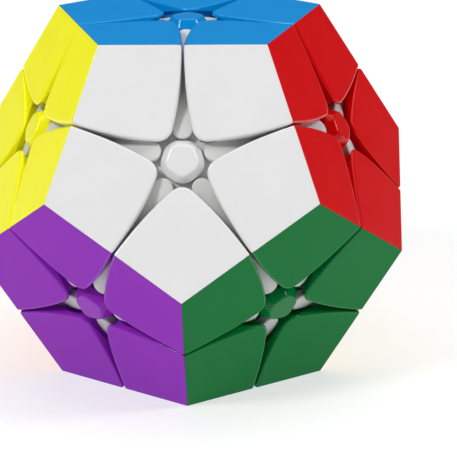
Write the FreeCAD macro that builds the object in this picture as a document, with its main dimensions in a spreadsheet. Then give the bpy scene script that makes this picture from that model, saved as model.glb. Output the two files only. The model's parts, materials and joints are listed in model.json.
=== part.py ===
"""Twelve-faced twisty puzzle of the five-corner kind, as an assembly of separate pieces.

The puzzle is a regular dodecahedron cut by twelve surfaces of revolution, one about each face axis.
Everything inside one such surface is that face's layer, and the layer turns as one. A corner lies in
three layers, a hidden edge in two and a centre in one. Every cut surface is made of cones with their
apex at the middle of the puzzle and of spheres about it, so any layer can slide past the rest.

From the outside inwards the cut has four steps:
  plate  the coloured tiles, whose tips pass over the shoulders of the centre caps
  deck   the hidden edges' bars and the centre caps that show between the tiles
  neck   a narrow waist, where the round flanges of the centres reach out over the feet
  foot   the feet of corners and edges, which hook under the flanges and edges and hold them in
The feet are cut at the deck's angle.

Sizes are in millimetres and degrees. The puzzle stands on its light blue face at Z = 0, with the
blue face up and the white face towards -Y.
"""
import FreeCAD, Part
import itertools
import math
import os
import Sketcher
from FreeCAD import Placement, Rotation, Vector

os.makedirs("parts", exist_ok=True)
doc = FreeCAD.newDocument("twelve_faced_puzzle")
sheet = doc.addObject("Spreadsheet::Sheet", "dims")

DRIVING_DIMENSIONS = {
    "edge_length": 30.0,  # one edge of the dodecahedron
    "plate_angle": 57.93,  # cone of the tile edges, for pieces inside the layer
    "plate_angle_out": 58.28,  # the same cone for pieces outside the layer
    "deck_angle": 56.17,
    "deck_angle_out": 56.57,
    "neck_angle": 49.8,
    "neck_angle_out": 50.2,
    "plate_seat": 33.15,  # radius where plate meets deck
    "flange_top": 30.4,  # radius where deck meets neck
    "flange_bottom": 26.2,  # radius where neck meets foot
    "foot_bottom": 21.8,  # radius where the feet end
    "slide_gap": 0.12,  # half of the play between two sliding spheres
    "cone_start": 8.0,  # height at which the cutting cones begin, clear of their common apex
    "tile_thickness": 3.0,
    "tile_tip_radius": 2.7,
    "tile_tip_centre": 7.557,  # from the face axis to the centre of the tip's rounding
    "tile_tip_reach": 5.518,  # from the face axis to where the rounding meets the sides
    "tile_rim_radius": 0.25,
    "bar_top": 32.15,  # radius of the hidden edges' outer surface, 1.5 below the tiles at a bar's end
    "bar_half_width": 1.83,
    "bar_end_offset": 5.88,  # from the face axis to the centre of the bar's round end
    "bar_rim_radius": 0.3,
    "button_apothem": 3.53,  # at the foot of the cap
    "button_draft": 6.7,  # the cap widens outwards
    "button_corner": 2.9,
    "button_top": 33.35,
    "button_bevel_run": 1.34,  # the sloping sides under the flat top
    "button_bevel_drop": 1.75,
    "button_rim_radius": 0.5,
    "button_wall_radius": 2.75,  # bore of the cap and of the spring pocket
    "button_roof": 31.9,
    "cap_seat": 29.9,  # flat on top of the flange that the cap stands on
    "cap_seat_radius": 3.85,
    "flange_angle": 13.1,
    "column_angle": 6.75,
    "pocket_floor": 26.6,
    "screw_bore": 1.25,
    "screw_radius": 1.0,
    "screw_tip": 12.5,
    "screw_head_radius": 2.3,
    "screw_head_seat": 30.4,
    "screw_head_height": 1.3,
    "screw_slot_width": 0.6,
    "screw_slot_depth": 0.7,
    "washer_radius": 2.55,
    "washer_thickness": 0.4,
    "spring_radius": 2.1,
    "spring_wire": 0.22,
    "spring_pitch": 0.85,
    "spring_clearance": 0.05,  # under the spring, so that a centre can turn beneath it
    "core_radius": 10.5,
    "arm_radius": 2.9,
    "arm_top": 21.5,
}
for row, (alias, value) in enumerate(DRIVING_DIMENSIONS.items(), start=1):
    sheet.set(f"A{row}", str(value))
    sheet.setAlias(f"A{row}", alias)
doc.recompute()

GOLDEN = (1 + math.sqrt(5)) / 2
INRADIUS_PER_EDGE = GOLDEN**2 / (2 * math.sqrt(3 - GOLDEN))
FACE_HEIGHT = f"(dims.edge_length * {INRADIUS_PER_EDGE:.9f})"
FACE_MM = DRIVING_DIMENSIONS["edge_length"] * INRADIUS_PER_EDGE
BIG = 60.0  # larger than the puzzle, for half-spaces

# Face axes: one up, five around it, five below and one down. Azimuths run anticlockwise from +X.
RING_Z = 1 / math.sqrt(5)
RING_R = 2 / math.sqrt(5)
UPPER = {"white": -90, "red": -18, "pink": 54, "lime": 126, "yellow": 198}
LOWER = {"green": -54, "cream": 18, "grey": 90, "orange": 162, "purple": 234}


def ring_axis(azimuth, height):
    """A face axis of the upper or the lower ring."""
    turn = math.radians(azimuth)
    return Vector(RING_R * math.cos(turn), RING_R * math.sin(turn), height)


AXES = {"blue": Vector(0, 0, 1)}
AXES.update({name: ring_axis(azimuth, RING_Z) for name, azimuth in UPPER.items()})
AXES.update({name: ring_axis(azimuth, -RING_Z) for name, azimuth in LOWER.items()})
AXES["light_blue"] = Vector(0, 0, -1)
FACES = list(AXES)
TURNING_FACES = ("white", "lime", "light_blue")


def adjacent(first, second):
    """Two faces share an edge when their axes are about 63.4 degrees apart."""
    return abs(AXES[first].dot(AXES[second]) - RING_Z) < 1e-6


def frame_matrix(first, second):
    """Columns: the first axis, the part of the second square to it, and their cross product."""
    side = second - first * second.dot(first)
    side.normalize()
    across = first.cross(side)
    return FreeCAD.Matrix(
        first.x, side.x, across.x, 0,
        first.y, side.y, across.y, 0,
        first.z, side.z, across.z, 0,
        0, 0, 0, 1,
    )


def turn_onto(face, neighbour):
    """Placement about the puzzle's middle that takes the blue and white axes to the two given ones."""
    start = frame_matrix(AXES["blue"], AXES["white"])
    goal = frame_matrix(AXES[face], AXES[neighbour])
    return Placement(goal * start.inverse())


LIFT = Placement(Vector(0, 0, FACE_MM), Rotation())


def add(kind, name, placement=None, **expressions):
    """A document object whose sizes follow the sheet."""
    obj = doc.addObject(kind, name)
    for prop, expression in expressions.items():
        obj.setExpression(prop, expression)
    if placement is not None:
        obj.Placement = placement
    return obj


def fuse(name, members):
    obj = doc.addObject("Part::MultiFuse", name)
    obj.Shapes = members
    return obj


def common(name, members):
    obj = doc.addObject("Part::MultiCommon", name)
    obj.Shapes = members
    return obj


def cut(name, base, tool):
    obj = doc.addObject("Part::Cut", name)
    obj.Base = base
    obj.Tool = tool
    return obj


def placed(name, members, placement):
    """The given objects again, together, at another place."""
    obj = doc.addObject("Part::Compound", name)
    obj.Links = members
    obj.Placement = placement
    return obj


def along(axis, distance=0.0):
    """Placement that stands an object's own Z on an axis of the puzzle."""
    return Placement(axis * distance, Rotation(Vector(0, 0, 1), axis))


def cone(name, angle, top=FACE_HEIGHT):
    """Everything within an angle of +Z, up to a height."""
    start = DRIVING_DIMENSIONS["cone_start"]
    return add(
        "Part::Cone", name, Placement(Vector(0, 0, start), Rotation()),
        Radius1=f"dims.cone_start * tan({angle} * 1deg)",
        Radius2=f"{top} * tan({angle} * 1deg)",
        Height=f"{top} - dims.cone_start",
    )


def ball(name, radius):
    return add("Part::Sphere", name, Radius=radius)


def layer(name, suffix, gap, margin):
    """The blue layer's cut surface as a solid: slimmer for its own pieces, fuller for the others.

    A margin carries the solid past the face and past the feet, so that it cuts right through.
    """
    top = f"({FACE_HEIGHT} + {margin})"
    sole = f"dims.foot_bottom - {margin}"
    opposite = "-" if gap == "+" else "+"
    plate = cut(
        f"{name}_plate", cone(f"{name}_plate_cone", f"dims.plate_angle{suffix}", top),
        ball(f"{name}_plate_ball", f"dims.plate_seat {gap} dims.slide_gap"),
    )
    deck = cut(
        f"{name}_deck", cone(f"{name}_deck_cone", f"dims.deck_angle{suffix}", top),
        ball(f"{name}_deck_ball", f"dims.flange_top {gap} dims.slide_gap"),
    )
    neck = cut(
        f"{name}_neck", cone(f"{name}_neck_cone", f"dims.neck_angle{suffix}", top),
        ball(f"{name}_neck_ball", sole),
    )
    foot_cone = common(f"{name}_foot_cone", [
        cone(f"{name}_foot_blank", f"dims.deck_angle{suffix}", top),
        ball(f"{name}_foot_ball", f"dims.flange_bottom {opposite} dims.slide_gap"),
    ])
    foot = cut(f"{name}_foot", foot_cone, ball(f"{name}_sole_ball", sole))
    return fuse(name, [plate, deck, neck, foot])


def half_space(name, normal):
    """All points on the normal's side of a plane through the middle of the puzzle."""
    corner = Placement(Vector(-BIG, -BIG, 0), Rotation())
    box = add("Part::Box", name, along(normal).multiply(corner))
    box.Length = 2 * BIG
    box.Width = 2 * BIG
    box.Height = BIG
    return box


def slab(name, axis, top):
    """All points below a height along an axis."""
    return add("Part::Cylinder", name, along(axis), Radius=f"{BIG}", Height=top)


# ---- corner: a white body with three coloured tiles -------------------------------------------------
inside = layer("layer_inside", "", "+", 0)
corner_region = common("corner_region", [
    placed("inside_blue", [inside], Placement()),
    placed("inside_white", [inside], turn_onto("white", "blue")),
    placed("inside_red", [inside], turn_onto("red", "blue")),
])
tile_floor = f"{FACE_HEIGHT} - dims.tile_thickness"
body_zone = common("corner_body_zone", [
    slab(f"body_slab_{face}", AXES[face], tile_floor) for face in ("blue", "white", "red")
])
corner_body = common("corner_body", [corner_region, body_zone])
corner_skin = cut("corner_skin", corner_region, body_zone)
tile_blank = common("tile_blank", [
    corner_skin,
    half_space("tile_side_white", AXES["blue"] - AXES["white"]),
    half_space("tile_side_red", AXES["blue"] - AXES["red"]),
])


def middle(edge):
    return edge.valueAt((edge.FirstParameter + edge.LastParameter) / 2)


def rounded(name, base, radius, wanted):
    """Rounds the edges whose middle point passes the test."""
    doc.recompute()
    obj = doc.addObject("Part::Fillet", name)
    obj.Base = base
    obj.Edges = [
        (number, radius, radius)
        for number, edge in enumerate(base.Shape.Edges, start=1)
        if wanted(edge, middle(edge))
    ]
    return obj


def is_tile_rim(edge, point):
    """The top edges along the slots, but not the puzzle's straight outer edges."""
    return abs(point.z - FACE_MM) < 1e-4 and edge.Curve.TypeId != "Part::GeomLine"


tile_rimmed = rounded("tile_rimmed", tile_blank, DRIVING_DIMENSIONS["tile_rim_radius"], is_tile_rim)

# The tip between the two curved sides is rounded by a block with a round bite out of it.
TO_VERTEX = math.degrees(math.atan2(AXES["white"].y + AXES["red"].y, AXES["white"].x + AXES["red"].x))
AT_VERTEX = Placement(Vector(0, 0, 0), Rotation(Vector(0, 0, 1), TO_VERTEX))
TIP_BLOCK_WIDTH = 8.0
tip_block = add(
    "Part::Box", "tip_block", AT_VERTEX.multiply(Placement(Vector(0, -TIP_BLOCK_WIDTH / 2, 0), Rotation())),
    Length="dims.tile_tip_reach", Width=f"{TIP_BLOCK_WIDTH}", Height=f"{BIG}",
)
tip_centre = Vector(DRIVING_DIMENSIONS["tile_tip_centre"], 0, 0)
tip_round = add(
    "Part::Cylinder", "tip_round", AT_VERTEX.multiply(Placement(tip_centre, Rotation())),
    Radius="dims.tile_tip_radius", Height=f"{BIG}",
)
tile = cut("tile", tile_rimmed, cut("tip_cutter", tip_block, tip_round))

# The other two tiles of a corner are the same tile, turned about the corner's own axis.
corner_parts = [
    corner_body,
    placed("tile_on_blue", [tile], Placement()),
    placed("tile_on_white", [tile], turn_onto("white", "red")),
    placed("tile_on_red", [tile], turn_onto("red", "blue")),
]

# ---- hidden edge: a foot and waist under two bars that show in the slots ------------------------------
outside = layer("layer_outside", "_out", "-", 2)
half_width = DRIVING_DIMENSIONS["bar_half_width"]
end_offset = DRIVING_DIMENSIONS["bar_end_offset"]
face_apothem = DRIVING_DIMENSIONS["edge_length"] / (2 * math.tan(math.pi / 5))
bar_outline = fuse("bar_outline", [
    add("Part::Cylinder", "bar_end", Placement(Vector(0, -end_offset, 0), Rotation()),
        Radius="dims.bar_half_width", Height=f"{BIG}"),
    add("Part::Box", "bar_run", Placement(Vector(-half_width, -face_apothem, 0), Rotation()),
        Length="2 * dims.bar_half_width", Width=f"{face_apothem:.6f} - dims.bar_end_offset", Height=f"{BIG}"),
])
bar_blank = common("bar_blank", [bar_outline, ball("bar_ball", "dims.bar_top")])


def is_bar_rim(edge, point):
    """The edges of a bar's outer surface, but not where it meets the other face's bar."""
    return abs(point.Length - DRIVING_DIMENSIONS["bar_top"]) < 1e-3 and point.y > 1 - face_apothem


bar = rounded("bar", bar_blank, DRIVING_DIMENSIONS["bar_rim_radius"], is_bar_rim)
edge_barred = common("edge_barred", [
    placed("edge_inside_blue", [inside], Placement()),
    placed("edge_inside_white", [inside], turn_onto("white", "blue")),
    fuse("edge_zone", [
        placed("bar_blue", [bar], Placement()),
        placed("bar_white", [bar], turn_onto("white", "blue")),
        ball("edge_waist_ball", "dims.flange_top + dims.slide_gap"),
    ]),
])
edge_one_end = cut("edge_one_end", edge_barred, placed("outside_red", [outside], turn_onto("red", "blue")))
hidden_edge = cut(
    "hidden_edge", edge_one_end, placed("outside_yellow", [outside], turn_onto("yellow", "blue")),
)

# ---- centre: a white body held by a screw and spring, under a coloured cap ----------------------------
def column(name, angle, low, high):
    """A cone about +Z between two spheres."""
    shell = common(f"{name}_top", [cone(f"{name}_cone", angle), ball(f"{name}_high", high)])
    return cut(name, shell, ball(f"{name}_low", low))


def rod(name, radius, low, high):
    """A round rod on the Z axis between two heights given by the sheet."""
    start = DRIVING_DIMENSIONS.get(low, low)
    obj = add("Part::Cylinder", name, Placement(Vector(0, 0, start), Rotation()), Radius=radius)
    obj.setExpression("Height", f"{high} - {start}")
    return obj


centre_solid = fuse("centre_solid", [
    column("centre_flange", "dims.flange_angle", "dims.flange_bottom + dims.slide_gap",
           "dims.flange_top - dims.slide_gap"),
    column("centre_column", "dims.column_angle", "dims.foot_bottom + dims.slide_gap",
           "dims.flange_bottom + 2 * dims.slide_gap"),
])
centre_body = cut("centre_body", centre_solid, fuse("centre_bore", [
    rod("cap_seat_flat", "dims.cap_seat_radius", "cap_seat", f"{BIG}"),
    rod("spring_pocket", "dims.button_wall_radius", "pocket_floor", f"{BIG}"),
    rod("screw_hole", "dims.screw_bore", "cone_start", f"{BIG}"),
]))


def pentagon_sketch(body, name, height, apothem):
    """A regular pentagon on the body's XY plane, with one flat towards -Y."""
    sketch = body.newObject("Sketcher::SketchObject", name)
    plane = next(f for f in body.Origin.OriginFeatures if f.Role == "XY_Plane")
    sketch.AttachmentSupport = (plane, [""])
    sketch.MapMode = "FlatFace"
    sketch.setExpression("AttachmentOffset.Base.z", height)
    corner_radius = DRIVING_DIMENSIONS["button_apothem"] / math.cos(math.pi / 5)
    corners = [
        Vector(corner_radius * math.cos(turn), corner_radius * math.sin(turn), 0)
        for turn in (math.radians(-126 + 72 * k) for k in range(5))
    ]
    for start, end in zip(corners, corners[1:] + corners[:1]):
        sketch.addGeometry(Part.LineSegment(start, end), False)
    ring = sketch.addGeometry(Part.Circle(Vector(), Vector(0, 0, 1), corner_radius), True)
    sketch.addConstraint(Sketcher.Constraint("Coincident", ring, 3, -1, 1))
    for k in range(5):
        sketch.addConstraint(Sketcher.Constraint("Coincident", k, 2, (k + 1) % 5, 1))
        sketch.addConstraint(Sketcher.Constraint("PointOnObject", k, 1, ring))
    for k in range(1, 5):
        sketch.addConstraint(Sketcher.Constraint("Equal", 0, k))
    sketch.addConstraint(Sketcher.Constraint("Horizontal", 0))
    radius = sketch.addConstraint(Sketcher.Constraint("Radius", ring, corner_radius))
    sketch.setExpression(f"Constraints[{radius}]", f"{apothem} / cos(36 * 1deg)")
    return sketch


def circle_sketch(body, name, height, radius):
    sketch = body.newObject("Sketcher::SketchObject", name)
    plane = next(f for f in body.Origin.OriginFeatures if f.Role == "XY_Plane")
    sketch.AttachmentSupport = (plane, [""])
    sketch.MapMode = "FlatFace"
    sketch.setExpression("AttachmentOffset.Base.z", height)
    ring = sketch.addGeometry(Part.Circle(Vector(), Vector(0, 0, 1), 1.0), False)
    sketch.addConstraint(Sketcher.Constraint("Coincident", ring, 3, -1, 1))
    size = sketch.addConstraint(Sketcher.Constraint("Radius", ring, 1.0))
    sketch.setExpression(f"Constraints[{size}]", radius)
    return sketch


def dress(body, kind, name, base, wanted):
    """A fillet or chamfer on the body's edges that pass the test."""
    doc.recompute()
    numbers = [n for n, e in enumerate(base.Shape.Edges, start=1) if wanted(e, middle(e))]
    feature = body.newObject(kind, name)
    feature.Base = (base, [f"Edge{n}" for n in numbers])
    return feature


def is_cap_corner(edge, point):
    """The five steep edges of the cap."""
    ends = [vertex.Point.z for vertex in edge.Vertexes]
    return max(ends) - min(ends) > 1.0


def is_cap_top(edge, point):
    return all(abs(vertex.Point.z - DRIVING_DIMENSIONS["button_top"]) < 1e-4 for vertex in edge.Vertexes)


cap = doc.addObject("PartDesign::Body", "cap")
cap_pad = cap.newObject("PartDesign::Pad", "cap_pad")
cap_pad.Profile = pentagon_sketch(cap, "cap_outline", "dims.cap_seat", "dims.button_apothem")
cap_pad.setExpression("Length", "dims.button_top - dims.cap_seat")
cap_pad.setExpression("TaperAngle", "dims.button_draft * 1deg")
cap_corners = dress(cap, "PartDesign::Fillet", "cap_corners", cap_pad, is_cap_corner)
cap_corners.setExpression("Radius", "dims.button_corner")
cap_bevel = dress(cap, "PartDesign::Chamfer", "cap_bevel", cap_corners, is_cap_top)
cap_bevel.ChamferType = "Two distances"
cap_bevel.setExpression("Size", "dims.button_bevel_drop")
cap_bevel.setExpression("Size2", "dims.button_bevel_run")
cap_rim = dress(cap, "PartDesign::Fillet", "cap_rim", cap_bevel, is_cap_top)
cap_rim.setExpression("Radius", "dims.button_rim_radius")
doc.recompute()
solid_cap_volume = cap_rim.Shape.Volume
cap_bore = cap.newObject("PartDesign::Pocket", "cap_bore")
cap_bore.Profile = circle_sketch(cap, "cap_bore_outline", "dims.cap_seat", "dims.button_wall_radius")
cap_bore.setExpression("Length", "dims.button_roof - dims.cap_seat")
cap_bore.Reversed = True
doc.recompute()
if cap_bore.Shape.Volume > 0.8 * solid_cap_volume:
    raise RuntimeError("the cap's bore cuts nothing")

# ---- screw, washer and spring of one centre -----------------------------------------------------------
screw_solid = fuse("screw_solid", [
    rod("screw_shank", "dims.screw_radius", "screw_tip", "dims.screw_head_seat + 0.1"),
    rod("screw_head", "dims.screw_head_radius", "screw_head_seat",
        "(dims.screw_head_seat + dims.screw_head_height)"),
])
slot_length = 0.7 * 2 * DRIVING_DIMENSIONS["screw_head_radius"]
slot_width = DRIVING_DIMENSIONS["screw_slot_width"]
slot_floor = (
    DRIVING_DIMENSIONS["screw_head_seat"] + DRIVING_DIMENSIONS["screw_head_height"]
    - DRIVING_DIMENSIONS["screw_slot_depth"]
)
slots = []
for turn in (0, 90):
    quarter = Placement(Vector(0, 0, slot_floor), Rotation(Vector(0, 0, 1), turn))
    centred = quarter.multiply(Placement(Vector(-slot_length / 2, -slot_width / 2, 0), Rotation()))
    slot = add("Part::Box", f"screw_slot_{turn}", centred, Width="dims.screw_slot_width", Height="5")
    slot.Length = slot_length
    slots.append(slot)
screw = cut("screw", screw_solid, fuse("screw_slots", slots))

washer_seat = DRIVING_DIMENSIONS["screw_head_seat"] - DRIVING_DIMENSIONS["washer_thickness"]
washer = cut(
    "washer",
    rod("washer_disc", "dims.washer_radius", washer_seat, "dims.screw_head_seat"),
    rod("washer_hole", "dims.screw_bore", "cone_start", f"{BIG}"),
)

spring_line = doc.addObject("Part::Helix", "spring_line")
spring_line.setExpression("Radius", "dims.spring_radius")
spring_line.setExpression("Pitch", "dims.spring_pitch")
spring_line.setExpression(
    "Height",
    "dims.screw_head_seat - dims.washer_thickness - dims.pocket_floor"
    " - dims.spring_clearance - 2 * dims.spring_wire",
)
spring_start = (
    DRIVING_DIMENSIONS["pocket_floor"] + DRIVING_DIMENSIONS["spring_clearance"]
    + DRIVING_DIMENSIONS["spring_wire"]
)
spring_line.SegmentLength = 1
spring_line.Placement = Placement(Vector(0, 0, spring_start), Rotation())
spring_section = add(
    "Part::Circle", "spring_section",
    Placement(Vector(DRIVING_DIMENSIONS["spring_radius"], 0, spring_start), Rotation(Vector(1, 0, 0), 90)),
    Radius="dims.spring_wire",
)
doc.recompute()
spring = doc.addObject("Part::Sweep", "spring")
spring.Sections = [spring_section]
spring.Spine = (spring_line, [f"Edge{n}" for n in range(1, len(spring_line.Shape.Edges) + 1)])
spring.Solid = True
spring.Frenet = True

# ---- core: a ball with an arm towards every face, each arm drilled for its screw -----------------------
arm = rod("core_arm", "dims.arm_radius", "cone_start", "dims.arm_top")
bore = rod("core_bore", "dims.screw_radius", "screw_tip", f"{BIG}")


def facing(face):
    """Placement of what was made for the blue face, with a flat of its pentagon towards each neighbour."""
    neighbour = next(other for other in FACES if adjacent(face, other))
    return turn_onto(face, neighbour)


def toward(name, members, face):
    """The given objects, made for the blue face, moved to another face."""
    return placed(f"{name}_{face}", members, facing(face))


core_solid = fuse("core_solid", [ball("core_ball", "dims.core_radius")] + [
    toward("arm", [arm], face) for face in FACES
])
core = cut("core_drilled", core_solid, fuse("core_bores", [toward("bore", [bore], face) for face in FACES]))

# ---- the assembly --------------------------------------------------------------------------------------
nodes = []


def node(name, members, placement=LIFT):
    """One named sub-part of the puzzle, written to a file of the same name."""
    obj = placed(name, members, placement)
    obj.Label = name
    nodes.append(obj)


def node_name(kind, faces):
    return "_".join([kind, *faces])


node("core", [core])
node("screws", [toward("screw", [screw], face) for face in FACES])
node("washers", [toward("washer", [washer], face) for face in FACES])
node("springs", [toward("spring", [spring], face) for face in FACES])
for face in FACES:
    node(node_name("cap", [face]), [cap], LIFT.multiply(facing(face)))
for face in TURNING_FACES:
    node(node_name("centre", [face]), [centre_body], LIFT.multiply(facing(face)))
still_faces = [face for face in FACES if face not in TURNING_FACES]
node("centres_still", [toward("centre_body", [centre_body], face) for face in still_faces])


def touching(faces):
    return all(adjacent(a, b) for a in faces for b in faces if a != b)


def same_hand(faces):
    """True when three faces run round their corner the way blue, white and red do."""
    first, second, third = (AXES[face] for face in faces)
    start = AXES["blue"].cross(AXES["white"]).dot(AXES["red"])
    return first.cross(second).dot(third) * start > 0


for trio in itertools.combinations(FACES, 3):
    if touching(trio):
        first, second = trio[:2] if same_hand(trio) else (trio[1], trio[0])
        node(node_name("corner", trio), corner_parts, LIFT.multiply(turn_onto(first, second)))

# Each hidden edge of a turning layer is a node. The still ones share five nodes, by where they lie.
STILL_EDGES = {
    "top": [("blue", "red"), ("blue", "pink"), ("blue", "yellow")],
    "right": [("red", "pink"), ("red", "green"), ("red", "cream")],
    "back": [("pink", "cream"), ("pink", "grey"), ("cream", "grey"), ("grey", "orange")],
    "left": [("yellow", "orange"), ("yellow", "purple"), ("orange", "purple")],
    "front": [("green", "cream"), ("green", "purple")],
}
for pair in itertools.combinations(FACES, 2):
    if touching(pair) and any(face in TURNING_FACES for face in pair):
        node(node_name("edge", pair), [hidden_edge], LIFT.multiply(turn_onto(*pair)))
for side, pairs in STILL_EDGES.items():
    members = [placed(node_name("still_edge", pair), [hidden_edge], turn_onto(*pair)) for pair in pairs]
    node(f"edges_still_{side}", members)

doc.recompute()
for obj in doc.Objects:
    if {"Invalid", "Error"} & set(obj.State):
        raise RuntimeError(f"{obj.Label} did not compute: {obj.State}")
for obj in nodes:
    shape = obj.Shape
    if shape.isNull() or not shape.isValid() or not shape.Solids:
        raise RuntimeError(f"{obj.Label} is not a sound solid")
    shape.exportStep(f"parts/{obj.Label}.step")
print(len(nodes), "nodes,", sum(len(obj.Shape.Solids) for obj in nodes), "solids")
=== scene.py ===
"""Twelve-faced twisty puzzle, dressed for rendering around its fixed CAD frame.

Shapes are in metres about the middle of the puzzle. The sides of a tile are cones and planes through that
middle, so the tile's outline in its face is all that its walls need.
"""
import json
import math

import bmesh
import bpy
from mathutils import Matrix, Vector


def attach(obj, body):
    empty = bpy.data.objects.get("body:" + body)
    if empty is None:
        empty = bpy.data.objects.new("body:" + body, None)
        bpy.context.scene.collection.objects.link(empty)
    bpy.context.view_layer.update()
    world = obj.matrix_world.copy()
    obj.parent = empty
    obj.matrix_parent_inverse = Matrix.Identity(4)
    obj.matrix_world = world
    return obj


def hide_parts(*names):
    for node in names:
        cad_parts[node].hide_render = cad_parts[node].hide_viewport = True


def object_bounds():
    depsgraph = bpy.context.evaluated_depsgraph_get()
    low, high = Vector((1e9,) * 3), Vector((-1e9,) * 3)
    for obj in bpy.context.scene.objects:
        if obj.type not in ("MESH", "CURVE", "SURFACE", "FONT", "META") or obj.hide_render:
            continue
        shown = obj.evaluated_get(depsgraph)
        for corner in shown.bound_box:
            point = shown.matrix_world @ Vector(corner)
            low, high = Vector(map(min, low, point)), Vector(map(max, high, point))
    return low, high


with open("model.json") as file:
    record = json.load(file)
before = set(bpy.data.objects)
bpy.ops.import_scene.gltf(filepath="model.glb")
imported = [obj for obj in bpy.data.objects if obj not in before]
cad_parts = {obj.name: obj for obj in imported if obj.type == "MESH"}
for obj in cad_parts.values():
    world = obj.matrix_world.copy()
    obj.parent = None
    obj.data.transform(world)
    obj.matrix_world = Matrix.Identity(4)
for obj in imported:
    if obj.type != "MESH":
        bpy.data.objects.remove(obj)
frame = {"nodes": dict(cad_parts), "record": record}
cad_box = [list(corner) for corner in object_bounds()]

MM = 0.001
FACE_DISTANCE = (cad_box[1][2] - cad_box[0][2]) / 2
MIDDLE = Vector((0, 0, cad_box[0][2] + FACE_DISTANCE))
GOLDEN = (1 + math.sqrt(5)) / 2
EDGE = FACE_DISTANCE * 2 * math.sqrt(3 - GOLDEN) / GOLDEN**2

# ---- the twelve face axes ------------------------------------------------------------------------------
RING_Z = 1 / math.sqrt(5)
RING_R = 2 / math.sqrt(5)
UPPER = {"white": -90, "red": -18, "pink": 54, "lime": 126, "yellow": 198}
LOWER = {"green": -54, "cream": 18, "grey": 90, "orange": 162, "purple": 234}


def ring_axis(azimuth, height):
    turn = math.radians(azimuth)
    return Vector((RING_R * math.cos(turn), RING_R * math.sin(turn), height))


AXES = {"blue": Vector((0, 0, 1))}
AXES.update({name: ring_axis(azimuth, RING_Z) for name, azimuth in UPPER.items()})
AXES.update({name: ring_axis(azimuth, -RING_Z) for name, azimuth in LOWER.items()})
AXES["light_blue"] = Vector((0, 0, -1))


def basis(first, second):
    """Rotation whose columns are the first axis, the part of the second square to it, and their cross."""
    side = (second - first * second.dot(first)).normalized()
    return Matrix((first, side, first.cross(side))).transposed()


def turn_onto(face, neighbour):
    """Takes what is made on the blue face, beside white, to another face and neighbour."""
    turn = basis(AXES[face], AXES[neighbour]) @ basis(AXES["blue"], AXES["white"]).transposed()
    return Matrix.Translation(MIDDLE) @ turn.to_4x4()


# ---- materials -----------------------------------------------------------------------------------------
def srgb(red, green, blue):
    """An 8-bit screen colour as linear RGBA."""
    parts = [value / 255 for value in (red, green, blue)]
    return tuple(v / 12.92 if v <= 0.04045 else ((v + 0.055) / 1.055) ** 2.4 for v in parts) + (1.0,)


TILE_COLOURS = {
    "blue": (6, 140, 214),
    "white": (227, 227, 227),
    "red": (212, 2, 8),
    "pink": (240, 112, 165),
    "lime": (122, 200, 52),
    "yellow": (254, 250, 20),
    "green": (4, 116, 54),
    "cream": (240, 222, 160),
    "grey": (128, 132, 136),
    "orange": (244, 112, 20),
    "purple": (142, 40, 182),
    "light_blue": (96, 190, 228),
}


def link(tree, source, output, target, socket):
    tree.links.new(source.outputs[output], target.inputs[socket])


def new_material(name):
    """A material with its node tree, its main shader and the object's own coordinates."""
    material = bpy.data.materials.new(name)
    material.use_nodes = True
    tree = material.node_tree
    return material, tree, tree.nodes["Principled BSDF"], tree.nodes.new("ShaderNodeTexCoord")


def noise(tree, place, scale, detail):
    node = tree.nodes.new("ShaderNodeTexNoise")
    node.inputs["Scale"].default_value = scale
    node.inputs["Detail"].default_value = detail
    link(tree, place, "Object", node, "Vector")
    return node


def vary_gloss(tree, pattern, shader, lowest, highest):
    """Lets a noise pattern move the roughness between two values."""
    gloss = tree.nodes.new("ShaderNodeMapRange")
    gloss.inputs["To Min"].default_value = lowest
    gloss.inputs["To Max"].default_value = highest
    link(tree, pattern, "Fac", gloss, "Value")
    link(tree, gloss, "Result", shader, "Roughness")


def bump(tree, pattern, strength, distance):
    node = tree.nodes.new("ShaderNodeBump")
    node.inputs["Strength"].default_value = strength
    node.inputs["Distance"].default_value = distance
    link(tree, pattern, "Fac", node, "Height")
    return node


def moulded_plastic(name, colour, roughness=0.2, shine=0.12, whiteness=0.1):
    """Injection-moulded plastic: faint mottling in its colour and gloss, a fine skin and sink ripples."""
    material, tree, shader, place = new_material(name)
    mottle = noise(tree, place, scale=160, detail=3)
    tone = tree.nodes.new("ShaderNodeValToRGB")
    darkest, lightest = tone.color_ramp.elements
    darkest.position, lightest.position = 0.3, 0.7
    darkest.color = [v * 0.98 for v in colour[:3]] + [1]
    lightest.color = [min(1.0, v * 1.01) for v in colour[:3]] + [1]
    link(tree, mottle, "Fac", tone, "Fac")
    link(tree, tone, "Color", shader, "Base Color")
    vary_gloss(tree, mottle, shader, lowest=roughness - 0.04, highest=roughness + 0.05)

    skin = noise(tree, place, scale=2600, detail=2)
    fine = bump(tree, skin, strength=0.12, distance=0.02 * MM)
    ripple = noise(tree, place, scale=70, detail=1)
    broad = bump(tree, ripple, strength=0.2, distance=0.12 * MM)
    link(tree, fine, "Normal", broad, "Normal")
    link(tree, broad, "Normal", shader, "Normal")
    shader.inputs["IOR"].default_value = 1.5
    shader.inputs["Specular IOR Level"].default_value = shine
    tint = [v + (1 - v) * whiteness for v in colour[:3]]
    shader.inputs["Specular Tint"].default_value = tint + [1]
    return material


def steel(name):
    """Turned steel: fine streaks in its gloss."""
    material, tree, shader, place = new_material(name)
    shader.inputs["Metallic"].default_value = 1.0
    shader.inputs["Base Color"].default_value = (0.56, 0.56, 0.58, 1)
    streak = noise(tree, place, scale=900, detail=4)
    vary_gloss(tree, streak, shader, lowest=0.22, highest=0.4)
    return material


COLOURED = {
    face: moulded_plastic(f"moulded_{face}", srgb(*colour)) for face, colour in TILE_COLOURS.items()
}
POLISHED = {
    face: moulded_plastic(f"polished_{face}", srgb(*colour), roughness=0.12, shine=0.5, whiteness=0.35)
    for face, colour in TILE_COLOURS.items()
}
BODY = moulded_plastic("moulded_body", srgb(220, 220, 219), roughness=0.42)
STEEL = steel("turned_steel")

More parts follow.
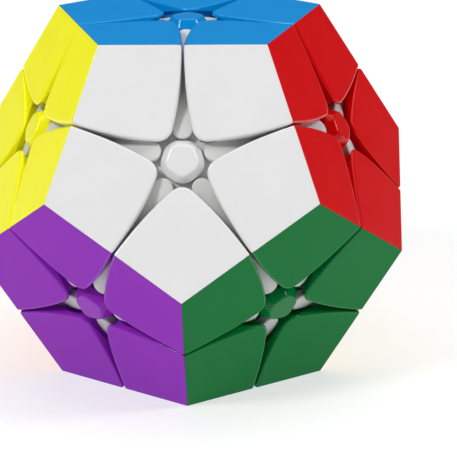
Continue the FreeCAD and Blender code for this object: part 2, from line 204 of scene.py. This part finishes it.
# ---- tiles ---------------------------------------------------------------------------------------------
PLATE_ANGLE = math.radians(57.93)
PLATE_SEAT = 33.27 * MM
TILE_THICKNESS = 3.0 * MM
UNDERCUT = 1.0 * MM
TIP_RADIUS = 2.7 * MM
LIP_GAP = 0.1 * MM  # the least height of the lip above the tile's foot
RIM = 0.42 * MM  # rounding of the curved sides and the tip
CREASE = 0.08 * MM  # rounding of the straight outer edges
RIM_SEGMENTS = 5
FLAT_MARGIN = RIM / 5  # a band round the flat face that keeps its shading flat
SIDE_STEPS = 34
TIP_STEPS = 12
OUTER_STEPS = 6
TANGENT_STEP = 1e-4
HALVINGS = 45
NEAREST_STEPS = 400
SAME_POINT = 0.0001 * MM
SHARP_TURN = math.radians(32)


def side_point(turn, inset=0.0):
    """Where the red layer's cone meets the blue face, by the angle about the red axis."""
    red = AXES["red"]
    upward = (AXES["blue"] - red * red.z).normalized()

    def on_cone(angle):
        ring = upward * math.cos(angle) + red.cross(upward) * math.sin(angle)
        ray = red * math.cos(PLATE_ANGLE) + ring * math.sin(PLATE_ANGLE)
        return ray * (FACE_DISTANCE / ray.z)

    here = on_cone(turn)
    inward = AXES["blue"].cross(on_cone(turn + TANGENT_STEP) - here).normalized()
    return here + inward * inset


def solve(test, low, high):
    """The place between low and high where the test changes sign."""
    positive = test(low) > 0
    for _ in range(HALVINGS):
        half = (low + high) / 2
        if (test(half) > 0) == positive:
            low = half
        else:
            high = half
    return (low + high) / 2


CORNER = AXES["blue"] + AXES["white"] + AXES["red"]
OUTWARD = Vector((CORNER.x, CORNER.y, 0)).normalized()  # in the blue face, towards the corner
SIDEWAYS = AXES["blue"].cross(OUTWARD)
WHITE_MITRE = AXES["blue"] - AXES["white"]
VERTEX = CORNER * (FACE_DISTANCE / CORNER.z)
APEX_SEARCH_END = math.radians(20)
APEX_TURN = solve(lambda t: side_point(t).dot(SIDEWAYS), 0.0, APEX_SEARCH_END)
SEARCH_END = math.radians(42)


def nearest_turn(centre):
    """The place on the tile's side that is nearest to a point."""
    reach = SEARCH_END - APEX_TURN
    turns = [APEX_TURN + reach * k / NEAREST_STEPS for k in range(NEAREST_STEPS + 1)]
    return min(turns, key=lambda t: (side_point(t) - centre).length)


def tip_centre(distance):
    return AXES["blue"] * FACE_DISTANCE + OUTWARD * distance


def tip_error(distance):
    centre = tip_centre(distance)
    return (side_point(nearest_turn(centre)) - centre).length - TIP_RADIUS


APEX = side_point(APEX_TURN).dot(OUTWARD)
TIP_CENTRE = tip_centre(solve(tip_error, APEX, APEX + 4 * TIP_RADIUS))
TOUCH_TURN = nearest_turn(TIP_CENTRE)


def blend_points(start, end, steps):
    """Even steps from the start towards the end, which is left out."""
    return [start + (end - start) * (k / steps) for k in range(steps)]


def side_end(inset):
    """Where the curved side, moved in by the inset, meets the puzzle's outer edge."""
    return solve(lambda t: side_point(t, inset).dot(WHITE_MITRE), TOUCH_TURN, SEARCH_END)


SHOULDER = side_point(side_end(UNDERCUT), UNDERCUT)  # where the undercut starts, on the outer edge


def tile_outline(inset=0.0):
    """The blue tile's outline from the corner round to it again, its curved sides moved in by the inset."""
    side = [side_point(t, inset) for t in blend_points(side_end(inset), TOUCH_TURN, SIDE_STEPS)]
    touch = side_point(TOUCH_TURN, inset) - TIP_CENTRE
    start = math.atan2(touch.dot(SIDEWAYS), touch.dot(OUTWARD))
    arc = [
        TIP_CENTRE + (OUTWARD * math.cos(a) + SIDEWAYS * math.sin(a)) * touch.length
        for a in blend_points(start, -math.pi, TIP_STEPS)
    ]
    tip = TIP_CENTRE - OUTWARD * touch.length
    half = blend_points(VERTEX, SHOULDER, OUTER_STEPS) + [SHOULDER] + side + arc
    mirrored = [p - SIDEWAYS * (2 * p.dot(SIDEWAYS)) for p in half[1:]]
    return half + [tip] + mirrored[::-1]


def tile_mesh():
    """A tile with its rim, its lip over the undercut and its foot, rounded along the top."""
    floor = 1 - TILE_THICKNESS / FACE_DISTANCE
    lip_floor = floor + LIP_GAP / FACE_DISTANCE
    top = tile_outline()
    lip = [p * max(PLATE_SEAT / p.length, lip_floor) for p in top]
    neck = [p * max(PLATE_SEAT / p.length, lip_floor) for p in tile_outline(UNDERCUT)]
    foot = [p * floor for p in tile_outline(UNDERCUT)]
    shape = bmesh.new()
    rings = [[shape.verts.new(p) for p in ring] for ring in (top, lip, neck, foot)]
    count = len(top)
    for upper, lower in zip(rings, rings[1:]):
        for k in range(count):
            n = (k + 1) % count
            shape.faces.new((upper[k], upper[n], lower[n], lower[k]))
    shape.faces.new(rings[0])
    shape.faces.new(rings[-1])
    bmesh.ops.remove_doubles(shape, verts=shape.verts, dist=SAME_POINT)
    bmesh.ops.recalc_face_normals(shape, faces=shape.faces)
    weight = shape.edges.layers.float.new("bevel_weight_edge")
    for k in range(count):
        edge = shape.edges.get((rings[0][k], rings[0][(k + 1) % count]))
        outer = k <= OUTER_STEPS or k >= count - OUTER_STEPS - 1
        edge[weight] = CREASE / RIM if outer else 1.0
    mesh = bpy.data.meshes.new("tile_blank")
    for finish in (COLOURED["white"], POLISHED["white"]):  # two slots, filled anew for each tile
        mesh.materials.append(finish)
    shape.to_mesh(mesh)
    shape.free()
    blank = bpy.data.objects.new("tile_blank", mesh)
    bpy.context.scene.collection.objects.link(blank)
    bevel = blank.modifiers.new("rim", "BEVEL")
    bevel.limit_method = "WEIGHT"
    bevel.width = RIM
    bevel.segments = RIM_SEGMENTS
    bevel.material = 1  # the polished one
    bevel.use_clamp_overlap = False
    bpy.context.view_layer.update()
    rounded = blank.evaluated_get(bpy.context.evaluated_depsgraph_get())
    made = bpy.data.meshes.new_from_object(rounded)
    bpy.data.objects.remove(blank)
    shape = bmesh.new()
    shape.from_mesh(made)
    top = max(shape.faces, key=lambda face: face.calc_area() * face.normal.z)
    bmesh.ops.inset_region(shape, faces=[top], thickness=FLAT_MARGIN, use_even_offset=True)
    soften(shape)
    shape.to_mesh(made)
    shape.free()
    return made


def soften(shape):
    """Smooth shading, kept crisp where the surface turns sharply."""
    for face in shape.faces:
        face.smooth = True
    for edge in shape.edges:
        edge.smooth = edge.calc_face_angle(0) < SHARP_TURN


def add_piece(name, mesh, body, node):
    """A piece that rides a body and stands in for a CAD node."""
    piece = bpy.data.objects.new(name, mesh)
    bpy.context.scene.collection.objects.link(piece)
    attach(piece, body)
    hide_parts(node)


def tile_on(face, neighbour):
    """The tile's mesh on one face, satin on top and polished along its rim."""
    mesh = blank.copy()
    mesh.transform(turn_onto(face, neighbour))
    mesh.materials[0] = COLOURED[face]
    mesh.materials[1] = POLISHED[face]
    return mesh


UNDERSIDE_TILT = -0.9  # a face whose normal leans this far back into the puzzle is a tile's underside


def inner_body(node, faces):
    """A copy of a corner node's mesh with only the faces of the white body under its tiles."""
    shape = bmesh.new()
    shape.from_mesh(frame["nodes"][node].data)
    seat = FACE_DISTANCE - TILE_THICKNESS
    slack = 0.001 * MM

    def belongs_to_tile(face):
        spot = face.calc_center_median() - MIDDLE
        for name in faces:
            height = spot.dot(AXES[name]) - seat
            underside = face.normal.dot(AXES[name]) < UNDERSIDE_TILT
            if height > slack or (height > -slack and underside):
                return True
        return False

    bmesh.ops.delete(shape, geom=[f for f in shape.faces if belongs_to_tile(f)], context="FACES")
    bmesh.ops.remove_doubles(shape, verts=shape.verts, dist=slack / 10)
    soften(shape)
    mesh = bpy.data.meshes.new(f"{node}_body")
    mesh.materials.append(BODY)
    shape.to_mesh(mesh)
    shape.free()
    return mesh


def one_centre(faces, face):
    """A copy of the still centres' mesh with only the one under the given face."""
    shape = bmesh.new()
    shape.from_mesh(frame["nodes"]["centres_still"].data)

    def nearest(spot):
        return max(faces, key=lambda name: (spot - MIDDLE).dot(AXES[name]))

    others = [f for f in shape.faces if nearest(f.calc_center_median()) != face]
    bmesh.ops.delete(shape, geom=others, context="FACES")
    soften(shape)
    mesh = bpy.data.meshes.new(f"centre_{face}_body")
    mesh.materials.append(COLOURED[face])
    shape.to_mesh(mesh)
    shape.free()
    return mesh


def same_hand(trio):
    """Three faces in the order that runs round their corner as blue, white and red do."""
    first, second, third = (AXES[face] for face in trio)
    start = AXES["blue"].cross(AXES["white"]).dot(AXES["red"])
    swap = first.cross(second).dot(third) * start < 0
    return (trio[0], trio[2], trio[1]) if swap else tuple(trio)


def face_names(node):
    """The faces that a node's name lists."""
    words = node.replace("light_blue", "lightblue").split("_")
    names = [word.replace("lightblue", "light_blue") for word in words]
    return [name for name in names if name in AXES]


STILL_FACES = [face for face in AXES if f"centre_{face}" not in frame["nodes"]]
blank = tile_mesh()
for body, members in frame["record"]["behaviour"]["bodies"].items():
    for node in members:
        kind = node.split("_")[0]
        faces = face_names(node)
        if kind == "corner":
            trio = same_hand(faces)
            add_piece(f"{node}_body", inner_body(node, faces), body, node)
            for k, face in enumerate(trio):
                mesh = tile_on(face, trio[(k + 1) % 3])
                add_piece(f"{node}_tile_{face}", mesh, body, node)
            continue
        if kind == "centres":
            for face in STILL_FACES:
                mesh = one_centre(STILL_FACES, face)
                add_piece(f"centre_{face}_body", mesh, body, node)
            continue
        if kind == "cap":
            finish = POLISHED[faces[0]]
        elif kind == "centre":
            finish = COLOURED[faces[0]]
        elif kind in ("screws", "washers", "springs"):
            finish = STEEL
        else:
            finish = BODY
        for slot in frame["nodes"][node].material_slots:
            slot.material = finish

# ---- stage, camera and light ---------------------------------------------------------------------------
FLOOR_REACH = 6.0
FLOOR_DROP = 0.02 * MM  # keeps the floor clear of the tiles that rest on it
FLOOR_GREY = 0.48
FLOOR_GLOW = 0.58
floor_mesh = bpy.data.meshes.new("floor")
square = [(-1, -1), (1, -1), (1, 1), (-1, 1)]
corners = [(x * FLOOR_REACH, y * FLOOR_REACH, -FLOOR_DROP) for x, y in square]
floor_mesh.from_pydata(corners, [], [(0, 1, 2, 3)])
floor = bpy.data.objects.new("floor", floor_mesh)
bpy.context.scene.collection.objects.link(floor)
pale = bpy.data.materials.new("pale_floor")
pale.use_nodes = True
pale_sockets = pale.node_tree.nodes["Principled BSDF"].inputs
pale_sockets["Base Color"].default_value = (FLOOR_GREY, FLOOR_GREY, FLOOR_GREY, 1)
pale_sockets["Roughness"].default_value = 0.9
pale_sockets["Specular IOR Level"].default_value = 0.0
pale_sockets["Emission Color"].default_value = (1, 1, 1, 1)
pale_sockets["Emission Strength"].default_value = FLOOR_GLOW
floor_mesh.materials.append(pale)

AZIMUTH, ELEVATION, ROLL = (math.radians(a) for a in (1.774, 18.622, -0.654))
CAMERA_BACK, CAMERA_RIGHT, CAMERA_DOWN = 18.525, 0.239, 0.248  # from the middle, in edges
SENSOR_WIDTH = 36
LENS = 234.4
back = Vector((
    math.sin(AZIMUTH) * math.cos(ELEVATION),
    -math.cos(AZIMUTH) * math.cos(ELEVATION),
    math.sin(ELEVATION),
))
level = (-back).cross(Vector((0, 0, 1))).normalized()
rise = level.cross(-back)
right = level * math.cos(ROLL) + rise * math.sin(ROLL)
up = rise * math.cos(ROLL) - level * math.sin(ROLL)
camera = bpy.data.objects.new("camera", bpy.data.cameras.new("camera"))
bpy.context.scene.collection.objects.link(camera)
place = MIDDLE + (back * CAMERA_BACK + right * CAMERA_RIGHT - up * CAMERA_DOWN) * EDGE
camera.matrix_world = Matrix.Translation(place) @ Matrix((right, up, back)).transposed().to_4x4()
camera.data.sensor_width = SENSOR_WIDTH
camera.data.lens = LENS
camera.data.clip_start = 0.01
camera.data.clip_end = 50
bpy.context.scene.camera = camera


def softbox(name, position, size, watts):
    """A rectangular light that faces the middle of the puzzle."""
    light = bpy.data.objects.new(name, bpy.data.lights.new(name, "AREA"))
    bpy.context.scene.collection.objects.link(light)
    light.data.shape = "RECTANGLE"
    light.data.size, light.data.size_y = size
    light.data.energy = watts
    light.location = position
    light.rotation_euler = (MIDDLE - Vector(position)).to_track_quat("-Z", "Y").to_euler()


softbox("key", (-0.5, -0.55, 0.72), (0.17, 0.17), 4.4)
softbox("fill", (0.8, -0.2, 0.66), (0.24, 0.24), 3.6)
softbox("top", (0.0, 0.1, 1.0), (1.2, 1.2), 7.0)
AMBIENT = 0.1
world = bpy.data.worlds.new("studio")
bpy.context.scene.world = world
world.use_nodes = True
background = world.node_tree.nodes["Background"].inputs
background["Color"].default_value = (1, 1, 1, 1)
background["Strength"].default_value = AMBIENT
bpy.context.scene.view_settings.view_transform = "Standard"
